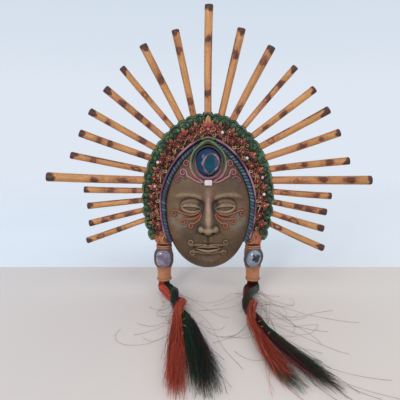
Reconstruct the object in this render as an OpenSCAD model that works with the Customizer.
// Painted clay wall mask with a fan of reeds and two horsehair tassels. Millimetres, +Z up, +Y to the wall.
// Heights in the modules are measured up from the mouths of the two tubes; hung() brings them down below the
// nail, so that the origin is where the nail carries the wire loop, on the wall plane.

/* [Face] */
// Widest half width of the face opening
face_half_w = 59.5; // [56:0.5:60]
// Height of the widest place of the face
face_mid_z = 110; // [108:1:112]
// From there up to the point of the opening
face_up = 81; // [80:1:82]
// From there down to the chin
face_down = 91; // [86:1:92]
// Depth of the face's edge, from the wall
face_edge_d = 15; // [13:0.5:15]
// Rise of the face's dome above its edge
face_dome = 27; // [24:1:30]
// Thickness of the clay
clay_t = 7; // [6:0.5:8]

/* [Headdress] */
// Half width of the headdress at its widest
dress_half_w = 88; // [86:1:90]
// Height of that place
dress_mid_z = 118; // [116:1:120]
// From there up to the top
dress_up = 113; // [111:1:115]
// From there down to where its outline would close
dress_down = 120; // [118:1:122]
// Thickness of the headdress at its rim
dress_t = 16; // [16:0.5:18]
// How far round from the top the headdress runs, in degrees
dress_end = 117; // [115:1:119]
// Radius of the rope round the face
rope_r = 3.4; // [3:0.1:3.6]
// Number of scallops on the green rim
scallops = 35; // [29:2:41]

/* [Reeds] */
// Depth of the reeds' axes, from the wall
reed_d = 9; // [8.5:0.25:9.5]
// How deep a reed sits in its socket
reed_in = 16; // [12:1:17]
// Width of a reed at its seat, as a share of that at its tip
reed_taper = 0.85; // [0.8:0.01:0.88]
// Thickness of a reed's wall
reed_wall = 1.4; // [1:0.1:2]

/* [Tubes] */
// Distance of the left tube from the centre
tube_left_x = 61; // [60:0.5:63]
// Distance of the right tube from the centre
tube_right_x = 63; // [62:0.5:64]
// Depth of the tubes' axes, from the wall
tube_d = 12.5; // [12.5:0.5:13.5]
// Radius of the hole that holds the hair
tube_bore_r = 6.5; // [6:0.25:7]

/* [Tassels] */
// Height of the place where the hair bends, below the tube's mouth
bend_drop = 9; // [9:0.5:10]
// Radius of the bundle where it bends
bend_r = 6.5; // [6:0.25:7]
// How far the two strands of a tassel keep from their common middle where they twist
twist_r = 4.9; // [4.9:0.1:5.2]

/* [Cabochon] */
// Half width of the forehead cabochon
gem_half_w = 17.5; // [16:0.5:18]
// Half height of the forehead cabochon
gem_half_h = 20; // [19:0.5:21]
// Rise of its dome to the front
gem_thick = 8; // [7:0.5:8.5]
// Thickness behind its widest place, up to its flat back
gem_back = 3; // [2.5:0.5:4]
// How far it leans back with the forehead, in degrees
gem_lean = 17; // [15:1:19]

/* [Hanger] */
// Half width of the wire loop
loop_r = 6.5; // [6:0.5:7]
// Radius of the wire
wire_r = 1; // [0.8:0.1:1.1]

/* [Hidden] */
// Height of the nail above the tubes' mouths
nail_z = 235;
// Depth of the bed of clay that an ornament is pressed into
press = 0.8;
// Play left between two parts that fit in each other
play = 0.1;

// Places across the headdress, from 0 at its inner edge to 1 at its outer one.
// The _end and _k pairs also say how far round a border runs.
rope_k = 0.02;
rope_end = 126;
cord_k = 0.2;
cord_end = 122;
cord_r = 1.9;
scroll_k = 0.3;
bloom_ks = [0.42, 0.62];
leaf_k = 0.75;
crown_k = 0.62;
scallop_in_k = 0.8;
scallop_k = 0.87;
scallop_r = 7.2;
// Degrees from bloom to bloom, and from leaf to leaf with a scroll between
bloom_step = 14;
leaf_step = 13.4;
// Single beads set in the band: degrees from the top and place across
BEADS = [[-79, 0.52], [-61, 0.7], [52, 0.42], [73, 0.66], [86, 0.6], [18, 0.5]];
bead_r = 2.2;

// Middle of the cabochon: its height, and its depth from the wall
gem_z = 167;
gem_depth = 34;
// Raised leaf line that crosses it, as X and Z from its middle
INLAY = [[1, -16.6], [-4.6, -11], [-6.6, -2], [-3.4, 5.6], [3.5, 9.8], [10, 7.6], [13.4, 0.4], [11.4, -8], [4, -15]];
inlay_r = 1.2;
brow_bead_z = 141;
brow_bead_w = 10;
brow_bead_r = 3.2;

// Outside of a tube, from its mouth up: foot ring, shaft, swelling behind the stone, neck
TUBE_SIDE = [
    [10.2, 0], [10.6, 1.6], [9.6, 3.4], [9.3, 14], [11.4, 20], [12, 27],
    [12, 39], [11.4, 46], [9.8, 48], [9.8, 50]
];
tube_h = 50;
bore_h = 20;
// A stone: half width, thickness, half height and turn about Y
STONE_LEFT = [10.4, 5, 11.6, 0];
STONE_RIGHT = [10, 5.4, 12.6, 20];
stone_z = 33;
stone_face = 9.5;
bezel_r = 1.7;
// Lappets: height of their top, its inner and outer corners, and half their width at the foot
lappet_top = 69;
lappet_in = 51;
lappet_out = 80;
lappet_foot = 11;

// Height where the hanger's legs start, their depth from the wall, and the depth of the channel they lie in
loop_z = 206;
wire_d = 1.6;
channel_d = 3.2;

// Bumps and hollows on the face's dome: X, Z, spread in X, spread in Z, height. Each is on both sides.
FACE_BUMPS = [
    [21.8, 108, 12, 8, -5.5], [21.8, 107, 9, 5, 4.5], [20, 121, 15, 4.5, 3], [31, 84, 13, 13, 3],
    [8, 73.5, 4, 4, 5]
];
// The same in the middle: forehead, lips, the line between them, chin
MIDDLE_BUMPS = [
    [0, 172, 15, 13, 6], [0, 56, 13, 3, 4], [0, 48, 11, 3.4, 4.5], [0, 52.3, 14, 1.4, -2], [0, 31, 12, 8, 5]
];
FACE_ROWS = 30;
FACE_COLUMNS = 24;
// Angle between the points of the headdress's outline, in degrees
DRESS_STEP = 6.5;

// One row for each reed: place round the rim, lean, length that shows and width at the tip
TOP_REED = [0, 0.5, 147, 11.5];
LEFT_REEDS = [
    [-13, -12, 119, 10.5], [-24, -27, 116, 11], [-33.5, -40, 107, 9], [-44, -50, 103.5, 10.5],
    [-54.5, -60.5, 104, 10], [-62.5, -70.5, 104.5, 10.5], [-72, -78.5, 108, 9.7], [-79, -88, 137, 12.5],
    [-86.5, -89, 84, 9], [-93, -96, 80, 9], [-99.5, -104, 81, 9], [-106, -110, 90, 8.5]
];
RIGHT_REEDS = [
    [12, 13, 121, 11.5], [22.5, 28, 113, 11.5], [33.5, 40.5, 109, 9], [43.5, 52.5, 107.5, 10.5],
    [53.5, 61.5, 108.5, 11], [62.5, 71, 109.5, 11], [71, 84, 113, 10.5], [79, 90, 140.5, 12.5],
    [87, 94.5, 84, 9.5], [94, 101, 79, 9.5], [101.5, 107, 79, 9.5], [108.5, 115, 87, 9.5]
];
REEDS = concat([TOP_REED], LEFT_REEDS, RIGHT_REEDS);

// Plan of each tassel on the surface it lies on: X from its tube and Y from the wall, root to tip
PLAN_LEFT = [
    [0, -13], [3, -20], [8, -30], [14, -41], [20, -54], [24, -68], [26, -84], [28, -102],
    [30, -122], [32, -144], [34, -167], [36, -191], [38, -215], [40, -240]
];
PLAN_RIGHT = [
    [0, -13], [-2, -20], [-5, -30], [-8, -43], [-10, -58], [-11, -74], [-11, -92], [-10, -110],
    [-8, -128], [-3, -146], [3, -166], [11, -187], [21, -209], [34, -232]
];
// Turn of each swing hinge about Z, which squares it to its tassel
SWING_TURN = 9.5;

$fn = 48;

function reed_name(i) = str("reed_", i < 9 ? "0" : "", i + 1);
function unit(v) = v / norm(v);
function side_of(x) = x < 0 ? -1 : 1;
function hill(d, s) = exp(-d * d / (2 * s * s));

// ---- outlines ----

// Half width of the face opening at a height: a pointed arch above, an oval below
function face_w(z) =
    let (t = z > face_mid_z ? (z - face_mid_z) / face_up : (face_mid_z - z) / face_down)
    z > face_mid_z
        ? face_half_w * pow(max(0, 1 - pow(t, 1.7)), 0.65)
        : face_half_w * pow(max(0, 1 - pow(t, 2.2)), 0.46);

// A place on the inner edge of the headdress and one on its outer edge, both at an angle from the top
function inner_at(a) =
    let (z = face_mid_z + (cos(a) > 0 ? face_up : face_down) * cos(a))
    [side_of(a) * face_w(z), z];
function outer_at(a) =
    [dress_half_w * sin(a), dress_mid_z + (cos(a) > 0 ? dress_up : dress_down) * cos(a)];
// A place between the two, from 0 at the inner edge to 1 at the outer one
function band_at(a, k) = (1 - k) * inner_at(a) + k * outer_at(a);
function lean_at(a) = let (v = outer_at(a) - inner_at(a)) atan2(v[0], v[1]);

// ---- the face's relief ----

// The nose grows from the brow down to its tip
function nose(x, z) =
    let (k = max(0, min(1, (124 - z) / 46)), foot = z < 76 ? hill(76 - z, 3.6) : 1)
    (2 + 17 * pow(k, 1.3)) * hill(x, 3.6 + 3.6 * k) * foot * (z > 118 ? hill(z - 118, 8) : 1);
function bump(b, x, z) = b[4] * hill(x - b[0], b[2]) * hill(z - b[1], b[3]);
function relief(x, z) =
    nose(x, z)
    + [for (b = FACE_BUMPS) bump(b, abs(x), z)] * [for (b = FACE_BUMPS) 1]
    + [for (b = MIDDLE_BUMPS) bump(b, x, z)] * [for (b = MIDDLE_BUMPS) 1];
function dome(x, z) =
    let (
        s = min(1, abs(x) / max(0.1, face_w(z))),
        t = z > face_mid_z ? (z - face_mid_z) / face_up : (face_mid_z - z) / face_down
    )
    face_dome * pow(max(0, 1 - pow(s, 2.4)), 0.6) * pow(max(0, 1 - pow(t, 2.6)), 0.5);
// Depth of the face's front, from the wall
function face_d(x, z) = face_edge_d + dome(x, z) + relief(x, z) * min(1, dome(x, z) / 8);

// ---- shared shapes ----

module hung() {
    translate([0, 0, -nail_z]) children();
}

// A flat outline, drawn as X and Z, given a thickness towards the front from depth d
module plate(d, t) {
    translate([0, -d, 0]) rotate([90, 0, 0]) linear_extrude(t) children();
}

function tangent(p, i, round) =
    let (n = len(p))
    round ? unit(p[(i + 1) % n] - p[(i + n - 1) % n]) : unit(p[min(i + 1, n - 1)] - p[max(i - 1, 0)]);
function section(p, i, a, b, sides, up, round) =
    let (t = tangent(p, i, round), across = unit(cross(t, up)), over = cross(across, t))
    [for (k = [0:sides - 1]) p[i] + a * cos(360 * k / sides) * across + b * sin(360 * k / sides) * over];

// A solid of oval section along the points p. a and b are its half width and half height at each point.
module sweep(p, a, b, sides = 8, up = [0, 1, 0], round = false) {
    m = len(p);
    rings = [for (i = [0:m - 1]) each section(p, i, a[i], b[i], sides, up, round)];
    walls = [
        for (i = [0:(round ? m - 1 : m - 2)], k = [0:sides - 1])
            let (j = (i + 1) % m, l = (k + 1) % sides)
            each [
                [i * sides + k, i * sides + l, j * sides + l],
                [i * sides + k, j * sides + l, j * sides + k]
            ]
    ];
    ends = round ? [] : [[for (k = [sides - 1:-1:0]) k], [for (k = [0:sides - 1]) (m - 1) * sides + k]];
    polyhedron(rings, concat(walls, ends));
}
module cord(p, r, sides = 8, round = false) {
    sweep(p, [for (q = p) r], [for (q = p) r], sides, [0, 1, 0], round);
}

// A curl on the face or the band: from a start angle it winds in to its middle
function curl(x, z, r, start, turns, steps = 9) =
    [for (i = [0:steps]) let (k = i / steps, a = start + 360 * turns * k, q = r * (1 - 0.78 * k))
        [x + q * sin(a), z + q * cos(a)]];
// The same points laid on the face, and on a level front of the headdress
function on_face(p, raise = 0.6) = [for (q = p) [q[0], -face_d(q[0], q[1]) - raise, q[1]]];
function at_depth(p, d) = [for (q = p) [q[0], -d, q[1]]];
function mirrored(p) = [for (q = p) [-q[0], q[1]]];

// ---- clay ----

// The face: its front with features, and a plain hollow back one clay thickness behind
function face_row_z(i, inset) =
    let (reach = i < FACE_ROWS / 2 ? face_down : face_up)
    face_mid_z - 0.996 * (reach - inset) * cos(180 * i / FACE_ROWS);
function face_point(i, j, inset) =
    let (
        z = face_row_z(i, inset),
        s = -cos(180 * j / FACE_COLUMNS),
        half = max(1.5, face_w(z) - inset),
        rim = i == 0 || j == 0 || i == FACE_ROWS || j == FACE_COLUMNS,
        x = half * s
    )
    [x, rim ? 0 : inset > 0 ? -(face_edge_d + dome(x, z) - inset) : -face_d(x, z), z];

module face_shell() {
    columns = FACE_COLUMNS + 1;
    rows = FACE_ROWS + 1;
    count = rows * columns;
    points = [for (inset = [0, clay_t], i = [0:FACE_ROWS], j = [0:FACE_COLUMNS]) face_point(i, j, inset)];
    front = [
        for (i = [0:FACE_ROWS - 1], j = [0:FACE_COLUMNS - 1])
            let (a = i * columns + j)
            each [[a, a + columns + 1, a + columns], [a, a + 1, a + columns + 1]]
    ];
    back = [for (f = front) [f[2] + count, f[1] + count, f[0] + count]];
    rim = concat(
        [for (j = [0:FACE_COLUMNS - 1]) j],
        [for (i = [0:FACE_ROWS - 1]) i * columns + FACE_COLUMNS],
        [for (j = [FACE_COLUMNS:-1:1]) FACE_ROWS * columns + j],
        [for (i = [FACE_ROWS:-1:1]) i * columns]
    );
    lip = [
        for (k = [0:len(rim) - 1])
            let (a = rim[k], b = rim[(k + 1) % len(rim)])
            each [[a, b + count, b], [a, a + count, b + count]]
    ];
    color("#7d6b57") hung() polyhedron(points, concat(front, back, lip));
}

function arc_angles(from, to, step) = [for (i = [0:round((to - from) / step)]) from + i * step];
module band_outline(k_in, k_out) {
    angles = arc_angles(-dress_end, dress_end, DRESS_STEP);
    polygon(concat(
        [for (a = angles) band_at(a, k_out)],
        [for (i = [len(angles) - 1:-1:0]) band_at(angles[i], k_in)]
    ));
}

// Moves its children to a reed's seat, with Z along the reed
module at_reed(r) {
    seat = outer_at(r[0]);
    translate([seat[0], -reed_d, seat[1]]) rotate([0, r[1], 0]) children();
}

module headdress_shell() {
    color("#5a3a2c") hung() difference() {
        plate(0, dress_t) band_outline(rope_k, 1);
        for (r = REEDS)
            at_reed(r) translate([0, 0, -reed_in - 3 * play]) cylinder(h = 40, r = reed_seat_r(r) + play);
        // the hanger's channel, open at the back and the top, and the two holes that hold its ends
        translate([-loop_r - 3, -channel_d, loop_z - 5]) cube([2 * loop_r + 6, channel_d + 1, 50]);
        for (x = [-loop_r, loop_r])
            translate([x, 1, loop_z]) rotate([90, 0, 0]) cylinder(h = 12, r = wire_r + play);
    }
}

module leaf_rim() {
    step = 2 * dress_end / (scallops - 1);
    color("#2f6b3a") hung() plate(dress_t - play, 4) difference() {
        for (i = [0:scallops - 1])
            translate(band_at(-dress_end + i * step, scallop_k)) circle(r = scallop_r, $fn = 32);
        polygon([for (a = arc_angles(-180, 180 - DRESS_STEP, DRESS_STEP)) band_at(a, scallop_in_k)]);
    }
}

// Both sides of the face opening, from one end over the point to the other
function border(k, depth, end) =
    at_depth([for (i = [-21:21]) band_at(i / 21 * end, k)], depth);
module rope_border() {
    color("#2c4f78") hung() cord(border(rope_k, dress_t + rope_r + 0.4, rope_end), rope_r);
}
module cord_band() {
    color("#a5728f") hung() cord(border(cord_k, dress_t + 1.5, cord_end), cord_r, 6);
}

// Blooms in two rows, each a disc with a raised heart
module rosettes() {
    color("#a03530") hung()
        for (i = [-7.5:7.5], row = [0, 1])
            let (a = (i + (row == 1 ? 0.25 : -0.25)) * bloom_step, p = band_at(a, bloom_ks[row]))
            translate([p[0], press - dress_t, p[1]]) rotate([90, 0, 0]) {
                cylinder(h = 3.2 + press, r1 = 4.4, r2 = 3.4);
                translate([0, 0, 3.2 + press]) cylinder(h = 1.2, r = 1.6);
            }
}

// Pointed leaves between the blooms and the green rim
module ochre_leaves() {
    color("#b98a5c") hung()
        for (i = [-8:8])
            if (i != 0)
                let (a = i * leaf_step, p = band_at(a, leaf_k))
                translate([p[0], 0, p[1]]) rotate([0, lean_at(a), 0])
                    plate(dress_t + 4, 2.6)
                        polygon([[-3.6, -2], [0, -4.6], [3.6, -2], [2.4, 3.4], [0, 7.4], [-2.4, 3.4]]);
}

// Small curls between the blooms and the mauve cord
module band_scrolls() {
    color("#c2945e") hung()
        for (s = [-1, 1], i = [1:8])
            let (a = s * (i * leaf_step - 4), p = band_at(a, scroll_k))
            cord(at_depth(curl(p[0], p[1], 3, lean_at(a), s * 0.95, 6), dress_t + 3), 0.9, 5);
}

module band_beads() {
    color("#e8dfe0") hung()
        for (b = BEADS)
            let (p = band_at(b[0], b[1]))
            translate([p[0], -dress_t - 5.6, p[1]]) sphere(r = bead_r);
}

// The tall leaf over the middle of the face, its two curls and its bead
module crown_leaf() {
    top = band_at(0, crown_k);
    color("#b98a5c") hung() {
        translate([0, 0, top[1]]) plate(dress_t - press, 7)
            polygon([[-4, -8], [4, -8], [5.4, 0], [3, 6], [0, 12], [-3, 6], [-5.4, 0]]);
        for (s = [-1, 1])
            cord(at_depth(curl(s * 7.6, top[1] - 4, 3.2, -s * 60, -s * 1.1, 8), dress_t + 3), 1, 6);
        translate([0, -dress_t - 8, top[1] - 4]) sphere(r = 2.4);
    }
}

// ---- forehead ----

module at_gem() {
    hung() translate([0, -gem_depth, gem_z]) rotate([-gem_lean, 0, 0]) children();
}
function oval(w, h, n = 28) = [for (i = [0:n - 1]) let (a = 360 * i / n) [w * sin(a), h * cos(a)]];

module forehead_gem() {
    color("#145a82") at_gem() intersection() {
        scale([gem_half_w, gem_thick, gem_half_h]) sphere(r = 1);
        translate([-gem_half_w, -gem_thick, -gem_half_h])
            cube([2 * gem_half_w, gem_thick + gem_back, 2 * gem_half_h]);
    }
}

function gem_front(x, z) = gem_thick * sqrt(max(0, 1 - pow(x / gem_half_w, 2) - pow(z / gem_half_h, 2)));
module gem_inlay() {
    color("#a5728f") at_gem()
        cord([for (q = INLAY) [q[0], -gem_front(q[0], q[1]) - 0.2, q[1]]], inlay_r, 6);
}

// Two raised bands round the cabochon
module gem_bezel() {
    color("#2f6b3a") at_gem() {
        cord(at_depth(oval(gem_half_w + 1.2, gem_half_h + 1.2), 0.5), 1.7, 6, true);
        cord(at_depth(oval(gem_half_w + 4.6, gem_half_h + 4.4), -1.5), 1.5, 6, true);
    }
}

// Each line rises from beside the brow bead and winds up in a curl
FOREHEAD_LINES = [
    concat([[9.5, 144.5], [16.5, 148], [21.2, 154.5], [23.6, 160.5]], curl(29, 164.5, 5.3, -130, 1.5, 12)),
    concat([[8, 140.5], [15, 142.5], [21.5, 146], [27, 149]], curl(33.4, 153, 5.3, -140, 1.5, 12)),
    concat([[31, 145.5], [35.5, 148], [39.5, 146.5]], curl(40.6, 143, 3, 60, 0.9, 8))
];
module forehead_scrolls() {
    color("#b4707a") hung()
        for (line = FOREHEAD_LINES) {
            cord(on_face(line), 1.1, 6);
            cord(on_face(mirrored(line)), 1.1, 6);
        }
}

// Tube bead on the bridge between the brows
module brow_bead() {
    d = face_d(0, brow_bead_z) + brow_bead_r / 2;
    color("#d9cfc8") hung() translate([-brow_bead_w / 2, -d, brow_bead_z]) rotate([0, 90, 0]) difference() {
        cylinder(h = brow_bead_w, r = brow_bead_r);
        translate([0, 0, -1]) cylinder(h = brow_bead_w + 2, r = 0.7);
    }
}

// ---- eyes and mouth ----

// Each line runs out under the eye from its inner corner and winds up in a curl
EYE_LINES = [
    concat([[10.5, 103.5], [16, 99.5], [24, 98], [33, 99.5], [40, 102]], curl(45, 98.5, 4.2, -20, 1.3, 8)),
    concat([[9.5, 101.5], [14, 95.5], [21, 92.8], [28, 92.6]], curl(33, 88.8, 4, -20, 1.3, 8)),
    concat([[8.6, 99], [11.5, 92.5], [16, 88.6]], curl(22, 83.6, 4, -40, 1.3, 8))
];
module eye_curls() {
    color("#b0643c") hung()
        for (line = EYE_LINES) {
            cord(on_face(line), 0.9, 6);
            cord(on_face(mirrored(line)), 0.9, 6);
        }
}

// Half of each lip, from the middle of the mouth to its scroll
UPPER_LIP = concat([[0, 56.4], [5, 57.8], [12, 57.2]], curl(22.5, 60, 4.2, -150, -1.2, 10));
LOWER_LIP = concat([[0, 45.6], [6, 45.4], [12, 47.4]], curl(20.5, 44.4, 4.2, -60, 1.2, 10));
function backwards(p) = [for (i = [len(p) - 1:-1:1]) p[i]];
module lip_scrolls() {
    color("#6f5c48") hung()
        for (lip = [UPPER_LIP, LOWER_LIP])
            cord(on_face(concat(backwards(mirrored(lip)), lip), 0.3), 1.3, 6);
}

// ---- lappets, tubes and stones ----

module lappet(s, x) {
    color("#a4502f") hung() plate(0, dress_t + 1)
        polygon([
            [s * lappet_in, lappet_top], [s * lappet_out, lappet_top],
            [s * (x + lappet_foot), tube_h], [s * (x - lappet_foot), tube_h]
        ]);
}
module lappet_left() {
    lappet(-1, tube_left_x);
}
module lappet_right() {
    lappet(1, tube_right_x);
}

module tube(x) {
    color("#be8c62") hung() translate([x, -tube_d, 0]) difference() {
        rotate_extrude() polygon(concat([[0, 0]], TUBE_SIDE, [[0, tube_h]]));
        translate([0, 0, -1]) cylinder(h = bore_h + 1, r = tube_bore_r);
    }
}
module tube_left() {
    tube(-tube_left_x);
}
module tube_right() {
    tube(tube_right_x);
}

module stone(x, size) {
    color("#a8a6b4") hung() translate([x, -tube_d - stone_face, stone_z]) rotate([0, size[3], 0])
        scale([size[0], size[1], size[2]]) sphere(r = 1);
}
module stone_left() {
    stone(-tube_left_x, STONE_LEFT);
}
module stone_right() {
    stone(tube_right_x, STONE_RIGHT);
}
module bezel(x, size) {
    ring = [for (i = [0:23]) let (a = 15 * i) [(size[0] + 0.6) * sin(a), -0.6, (size[2] + 0.6) * cos(a)]];
    color("#4a4450") hung() translate([x, -tube_d - stone_face, stone_z]) rotate([0, size[3], 0])
        cord(ring, bezel_r, 6, true);
}
module bezel_left() {
    bezel(-tube_left_x, STONE_LEFT);
}
module bezel_right() {
    bezel(tube_right_x, STONE_RIGHT);
}

// ---- hair ----

module hair_root(x) {
    color("#241a1a") hung() translate([x, -tube_d, 0.4]) cylinder(h = bore_h - 1, r = tube_bore_r - 0.08);
}
module hair_root_left() {
    hair_root(-tube_left_x);
}
module hair_root_right() {
    hair_root(tube_right_x);
}

// The bundle where it bends, round about the line it swings on
module hair_bend(x) {
    color("#241a1a") hung() translate([x, -tube_d, -bend_drop]) rotate([0, 0, SWING_TURN]) rotate([0, 90, 0])
        cylinder(h = 13, r = bend_r, center = true);
}
module hair_bend_left() {
    hair_bend(-tube_left_x);
}
module hair_bend_right() {
    hair_bend(tube_right_x);
}

// A tassel's middle line is its plan at the height of the bend, sinking as the fan spreads out.
// s is 0 at the root and 1 at the tip. Its strands twist once round each other, then lie side by side.
TWIST_FROM = 0.05;
TWIST_TO = 0.42;
function ease(k) = let (c = max(0, min(1, k))) c * c * (3 - 2 * c);
function twist_angle(s) = 360 * ease((s - TWIST_FROM) / (TWIST_TO - TWIST_FROM));
function fan(s) = ease((s - 0.4) / 0.6);
function root_in(s) = ease(s / 0.1);
function strand_line(plan, x, which) = [
    for (i = [0:len(plan) - 1])
        let (
            s = i / (len(plan) - 1),
            a = twist_angle(s),
            apart = twist_r * (0.75 + 0.25 * root_in(s)) + 8.1 * fan(s),
            level = -bend_drop - (twist_r - 0.2) * fan(s)
        )
        [x + plan[i][0] + which * apart * cos(a), plan[i][1], level + which * twist_r * root_in(s) * sin(a)]
];
module strand(plan, x, which, tone) {
    line = strand_line(plan, x, which);
    last = len(line) - 1;
    color(tone) hung() sweep(
        line,
        [for (i = [0:last]) 3.6 + 0.8 * root_in(i / last) + 8.2 * fan(i / last)],
        [for (i = [0:last]) 3.6 + 0.6 * root_in(i / last)],
        10,
        [0, 0, 1]
    );
}
module red_strand_left() {
    strand(PLAN_LEFT, -tube_left_x, -1, "#a8321f");
}
module dark_strand_left() {
    strand(PLAN_LEFT, -tube_left_x, 1, "#1d2420");
}
module red_strand_right() {
    strand(PLAN_RIGHT, tube_right_x, -1, "#a8321f");
}
module dark_strand_right() {
    strand(PLAN_RIGHT, tube_right_x, 1, "#1d2420");
}

// ---- reeds and hanger ----

function reed_seat_r(r) = r[3] * reed_taper / 2;
module reed(r) {
    color("#c8966a") hung() at_reed(r) difference() {
        union() {
            translate([0, 0, -reed_in]) cylinder(h = reed_in + 0.01, r = reed_seat_r(r));
            cylinder(h = r[2], r1 = reed_seat_r(r), r2 = r[3] / 2);
        }
        translate([0, 0, -reed_in - 1]) cylinder(h = r[2] + reed_in + 2, r = reed_seat_r(r) - reed_wall);
    }
}

module hanger_wire() {
    legs = nail_z + wire_r - loop_r - loop_z;
    color("#2a2422") hung() translate([0, -wire_d, loop_z]) {
        for (x = [-loop_r, loop_r]) translate([x, 0, 0]) {
            rotate([90, 0, 0]) cylinder(h = 8.5, r = wire_r);
            sphere(r = wire_r);
            cylinder(h = legs, r = wire_r);
        }
        translate([0, 0, legs]) rotate([90, 0, 0])
            rotate_extrude(angle = 180) translate([loop_r, 0]) circle(r = wire_r);
    }
}

face_shell();
headdress_shell();
leaf_rim();
rope_border();
cord_band();
rosettes();
ochre_leaves();
band_scrolls();
band_beads();
crown_leaf();
forehead_gem();
gem_inlay();
gem_bezel();
forehead_scrolls();
brow_bead();
eye_curls();
lip_scrolls();
lappet_left();
lappet_right();
tube_left();
tube_right();
bezel_left();
bezel_right();
stone_left();
stone_right();
hanger_wire();
hair_root_left();
hair_root_right();
hair_bend_left();
hair_bend_right();
red_strand_left();
dark_strand_left();
red_strand_right();
dark_strand_right();
for (i = [0:len(REEDS) - 1])
    reed(REEDS[i]);
